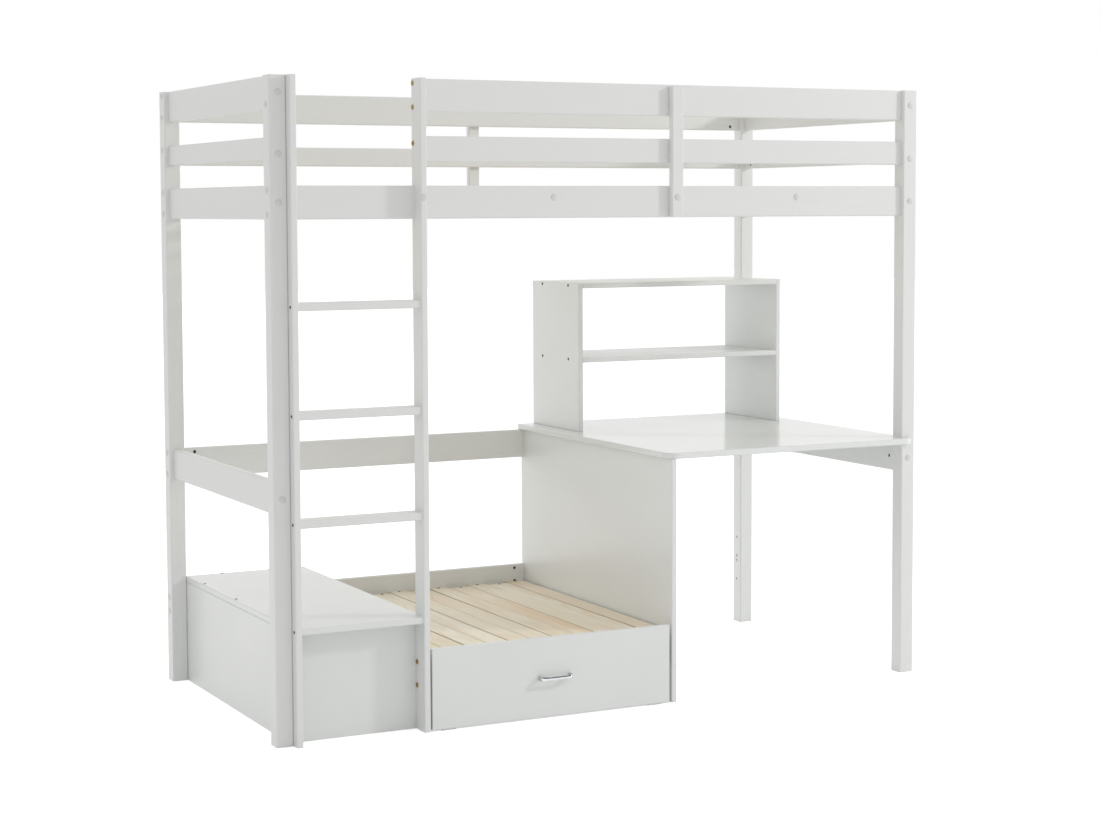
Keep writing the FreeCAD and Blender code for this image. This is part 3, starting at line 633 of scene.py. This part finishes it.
# the rungs lie in front of the posts
AHEAD_OF_POST = 14
rung_y = at(0, -AHEAD_OF_POST, 0).y
for tread in ("step_top", "ladder_rung_1", "ladder_rung_2", "ladder_rung_3"):
    screws += through_uprights("ladder_stile_left", "ladder_stile_right", rung_y, middle_of(tread).z)
HUTCH_SHARES = (0.22, 0.78)
hutch_low, hutch_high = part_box("hutch_left_panel")
for shelf in ("hutch_top_shelf", "hutch_middle_shelf"):
    for share in HUTCH_SHARES:
        y = hutch_low.y + share * (hutch_high.y - hutch_low.y)
        screws += through_uprights("hutch_left_panel", "hutch_right_panel", y, middle_of(shelf).z)
step_low, step_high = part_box("step_top")
IN_FROM_EDGE = 8 * MM
SIDE_PITCH, BACK_PITCH = 289 * MM, 154 * MM
side_middle, back_middle = middle_of("step_left_panel").y, middle_of("step_back_panel").x
for n in (0, 1):
    screws.append((Vector((step_low.x + IN_FROM_EDGE, side_middle + n * SIDE_PITCH, step_high.z)), UP))
for n in (-0.5, 0.5):
    screws.append((Vector((back_middle + n * BACK_PITCH, step_high.y - IN_FROM_EDGE, step_high.z)), UP))
print("screws in the boards:", len(screws))


# %% Screws in the slats
def slat_screws(slats, *bars):
    """A screw down into each bar from the middle of each slat."""
    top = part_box(slats)[1].z
    middles = sorted(sum(span(points, 0)) / 2 for points in solids(slats))
    return [(Vector((x, middle_of(bar).y, top)), UP) for x in middles for bar in bars]


screws += slat_screws("bench_fixed_slats", "bench_front_bar", "bench_back_ledger")
screws += slat_screws("bed_slats", "bed_ledger_front", "bed_ledger_back")
moving = slat_screws("pullout_slats", "pullout_ledger", "pullout_rear_bar")
for name, places, body in (("wood_screws", screws, "base"), ("pullout_screws", moving, "pullout")):
    copies = [(screw_shape, facing(*place)) for place in places]
    scatter(name, copies, BROWNED_STEEL, body)
print("screws:", len(screws), "and on the pull-out:", len(moving))

# %% [markdown]
# ## The pull
#
# The CAD handle is a strap with square edges. The real one is cast and polished, so every edge is rounded
# over and the strap swells towards its feet. It is made by sweeping a rounded section along the strap's
# middle line: the section is a superellipse, a circle pushed towards a rectangle, and its height grows
# from the waist to the feet.

# %% Middle line of the bow
low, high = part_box("pull_handle")
THICK, BEND, BEND_STEPS = 6.0 * MM, 12.0 * MM, 8
LEG_STOPS, BAR_STOPS = (0, 0.25, 0.5, 0.75), (0.15, 0.3, 0.5, 0.75, 1.0)
left, right = low.x + THICK / 2, high.x - THICK / 2
wall, far = high.y, low.y + THICK / 2
middle_x, middle_z = (left + right) / 2, (low.z + high.z) / 2


def bow_line():
    """Points and directions along the left half of the strap, from the wall to the middle."""
    leg = wall - far - BEND
    line = [(Vector((left, wall - t * leg, 0)), Vector((0, -1, 0))) for t in LEG_STOPS]
    for n in range(BEND_STEPS + 1):
        turn = math.pi / 2 * n / BEND_STEPS
        heading = Vector((math.sin(turn), -math.cos(turn), 0))
        centre = Vector((left + BEND, far + BEND, 0))
        line.append((centre + BEND * Vector((-math.cos(turn), -math.sin(turn), 0)), heading))
    for t in BAR_STOPS:
        line.append((Vector((left + BEND + t * (middle_x - left - BEND), far, 0)), Vector((1, 0, 0))))
    return line


half = bow_line()
mirrored = [(Vector((2 * middle_x - p.x, p.y, 0)), Vector((d.x, -d.y, 0))) for p, d in reversed(half[:-1])]
print("points along the bow:", len(half + mirrored))

# %% Section swept along the bow
FOOT_HIGH, WAIST_HIGH, SECTION_POINTS, SQUARENESS = 14.0 * MM, 9.5 * MM, 28, 0.8
# the swell starts at this share of the way from the middle to a foot, and grows over this share
SWELL_FROM, SWELL_OVER = 0.55, 0.42
bm = bmesh.new()
sections = []
for point, heading in half + mirrored:
    reach = abs(point.x - middle_x) / (middle_x - left)
    ease = max(0.0, min(1.0, (reach - SWELL_FROM) / SWELL_OVER))
    tall = WAIST_HIGH + (FOOT_HIGH - WAIST_HIGH) * ease * ease * (3 - 2 * ease)
    across = Vector((heading.y, -heading.x, 0))
    corners = []
    for n in range(SECTION_POINTS):
        turn = 2 * math.pi * n / SECTION_POINTS
        c, s = math.cos(turn), math.sin(turn)
        u = math.copysign(abs(c) ** SQUARENESS, c) * THICK / 2
        v = math.copysign(abs(s) ** SQUARENESS, s) * tall / 2
        corners.append(point + across * u + Vector((0, 0, middle_z + v)))
    sections.append(ring(bm, corners))
for one, two in zip(sections, sections[1:]):
    for n in range(SECTION_POINTS):
        bm.faces.new((one[n - 1], one[n], two[n], two[n - 1]))
bm.faces.new(sections[0])
bm.faces.new(sections[-1])
bmesh.ops.recalc_face_normals(bm, faces=bm.faces)
handle = piece("bow_handle_cast", bm, CHROME, "pullout")
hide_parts("pull_handle")
print("handle sections:", len(sections))

# %% [markdown]
# ## Studio floor
#
# The bed stands on a plain floor painted matt white, without a horizon. Where a ray shows the floor
# itself, the paint adds a little glow of its own, so that it fades into the white behind it but still
# takes the bed's soft shadow.

# %% Floor
def seen_directly(tree):
    """One for rays that show the background: from the camera, off a gloss, or through glass."""
    ray = add(tree, "ShaderNodeLightPath")
    shown = add(tree, "ShaderNodeMath", {
        0: (ray, "Is Camera Ray"), 1: (ray, "Is Glossy Ray")}, operation="MAXIMUM")
    return add(tree, "ShaderNodeMath", {
        0: (shown, "Value"), 1: (ray, "Is Transmission Ray")}, operation="MAXIMUM")


# half the floor's width in metres, its place under the feet, and its glow
FLOOR_REACH, FLOOR_DROP, FLOOR_GLOW = 30, 0.5 * MM, 0.5
floor_bm = bmesh.new()
bmesh.ops.create_grid(floor_bm, x_segments=8, y_segments=8, size=FLOOR_REACH)
floor_mesh = bpy.data.meshes.new("studio_floor")
floor_bm.to_mesh(floor_mesh)
floor_bm.free()
floor = bpy.data.objects.new("studio_floor", floor_mesh)
floor.location.z = -FLOOR_DROP
bpy.context.scene.collection.objects.link(floor)
floor_paint, tree = new_material("matt_white_studio_paint")
faint = add(tree, "ShaderNodeMath", {0: (seen_directly(tree), "Value"), 1: FLOOR_GLOW}, operation="MULTIPLY")
glow = add(tree, "ShaderNodeEmission", {"Color": linear("#FFFFFF"), "Strength": (faint, "Value")})
matt = add(tree, "ShaderNodeBsdfDiffuse", {"Color": linear("#F8F8F8")})
both = add(tree, "ShaderNodeAddShader", {0: (matt, "BSDF"), 1: (glow, "Emission")})
add(tree, "ShaderNodeOutputMaterial", {"Surface": (both, "Shader")})
floor.data.materials.append(floor_paint)

print("floor reaches", FLOOR_REACH, "m to each side")

# %% [markdown]
# ## White world
#
# For the camera and in gloss the world is pure white. All other rays meet a dome that is less bright, so
# the boards keep their own tone. The dome is a little brighter at the back, where a white wall would be.
# A strip of black card stands behind the camera, as in a studio: it shows only in reflections and gives
# the chrome its dark line.

# %% World
# the dome's level at the sides, and the share by which it is brighter at the back and darker in front
DOME, BACK_SHARE = 0.76, 0.1
# how far a direction points up, or to the back, where the card is still full and where it has faded out
CARD_FULL_UP, CARD_GONE_UP = 0.75, 0.92
CARD_FULL_BACK, CARD_GONE_BACK = -0.4, -0.1
# the share of the light that the card leaves
CARD_LEVEL = 0.06
world = bpy.data.worlds.new("white_studio")
world.use_nodes = True
world.node_tree.nodes.clear()
tree = world.node_tree
looking = add(tree, "ShaderNodeTexCoord")
lean = add(tree, "ShaderNodeVectorMath", {
    0: (looking, "Generated"), 1: (0, BACK_SHARE, 0)}, operation="DOT_PRODUCT")
side = add(tree, "ShaderNodeMath", {0: (lean, "Value"), 1: DOME, 2: DOME}, operation="MULTIPLY_ADD")
level = add(tree, "ShaderNodeMapRange", {
    "Value": (seen_directly(tree), "Value"), "To Min": (side, "Value"), "To Max": 1.0})
way = add(tree, "ShaderNodeSeparateXYZ", {"Vector": (looking, "Generated")})
low_down = add(tree, "ShaderNodeMapRange", {
    "Value": (way, "Z"), "From Min": CARD_GONE_UP, "From Max": CARD_FULL_UP})
in_front = add(tree, "ShaderNodeMapRange", {
    "Value": (way, "Y"), "From Min": CARD_GONE_BACK, "From Max": CARD_FULL_BACK})
card = add(tree, "ShaderNodeMath", {
    0: (low_down, "Result"), 1: (in_front, "Result")}, operation="MULTIPLY")
ray = add(tree, "ShaderNodeLightPath")
shown = add(tree, "ShaderNodeMath", {0: (card, "Value"), 1: (ray, "Is Glossy Ray")}, operation="MULTIPLY")
dimmed = add(tree, "ShaderNodeMapRange", {"Value": (shown, "Value"), "To Min": 1.0, "To Max": CARD_LEVEL})
strength = add(tree, "ShaderNodeMath", {0: (level, "Result"), 1: (dimmed, "Result")}, operation="MULTIPLY")
sky = add(tree, "ShaderNodeBackground", {"Color": linear("#FFFFFF"), "Strength": (strength, "Value")})
add(tree, "ShaderNodeOutputWorld", {"Surface": (sky, "Background")})
bpy.context.scene.world = world
print("dome at", DOME)

# %% [markdown]
# ## Two softboxes
#
# A soft lamp hangs high up and far round to the right. Its light rakes along the fronts and leaves a
# shade to the left of each upright and under the step's top, as in the photograph. A weaker one stands
# behind the bed and lifts the inner faces, which would be dull otherwise. Places and sizes are in metres
# from the middle of the bed.

# %% Lamps
def soft_lamp(name, place, aim, size, watts):
    lamp = bpy.data.lights.new(name, "AREA")
    lamp.shape = "SQUARE"
    lamp.size = size
    lamp.energy = watts
    made = bpy.data.objects.new(name, lamp)
    made.location = place
    made.rotation_euler = (Vector(aim) - Vector(place)).to_track_quat("-Z", "Y").to_euler()
    bpy.context.scene.collection.objects.link(made)
    return made


soft_lamp("softbox_right", place=(5.4, -3.4, 3.8), aim=(0, 0, 0.7), size=0.6, watts=122)
backlight = soft_lamp("softbox_back", place=(-0.6, 3.1, 1.2), aim=(0.9, 0, 0.8), size=1.0, watts=19)
# the sheen of the boards mirrors the white dome and not the edge of this lamp
backlight.visible_glossy = False
print("two softboxes")

# %% [markdown]
# ## Camera
#
# The camera was fitted to corners of the posts in the photograph. It stands to the left of the bed, about
# as high as the bed rail, and looks slightly down. Moving the picture with the lens shift, as an
# architect's camera does, keeps the posts nearly upright. The place is in the joiner's measure and the
# angles are in degrees.

# %% Camera
IMAGE_WIDE, IMAGE_HIGH, SENSOR = 1100, 824, 36.0
# focal length in pixels, and the row of the picture that the camera looks along
FOCAL, EYE_ROW = 2172.9, 360
YAW, PITCH, ROLL = 26.850, -3.993, -0.226
CAMERA_PLACE = at(-1929.3, -5436.5, 1437.0)
yaw, pitch, roll = (math.radians(angle) for angle in (YAW, PITCH, ROLL))
camera_data = bpy.data.cameras.new("photographer")
camera_data.sensor_width = SENSOR
camera_data.lens = FOCAL / IMAGE_WIDE * SENSOR
camera_data.shift_y = (EYE_ROW - IMAGE_HIGH / 2) / IMAGE_WIDE
camera = bpy.data.objects.new("photographer", camera_data)
tilt = Matrix.Rotation(math.pi / 2 + pitch, 4, "X") @ Matrix.Rotation(roll, 4, "Z")
camera.matrix_world = Matrix.Translation(CAMERA_PLACE) @ Matrix.Rotation(-yaw, 4, "Z") @ tilt
bpy.context.scene.collection.objects.link(camera)
bpy.context.scene.camera = camera
bpy.context.scene.view_settings.view_transform = "Standard"
print("lens", round(camera_data.lens, 1), "mm, shift", round(camera_data.shift_y, 4))
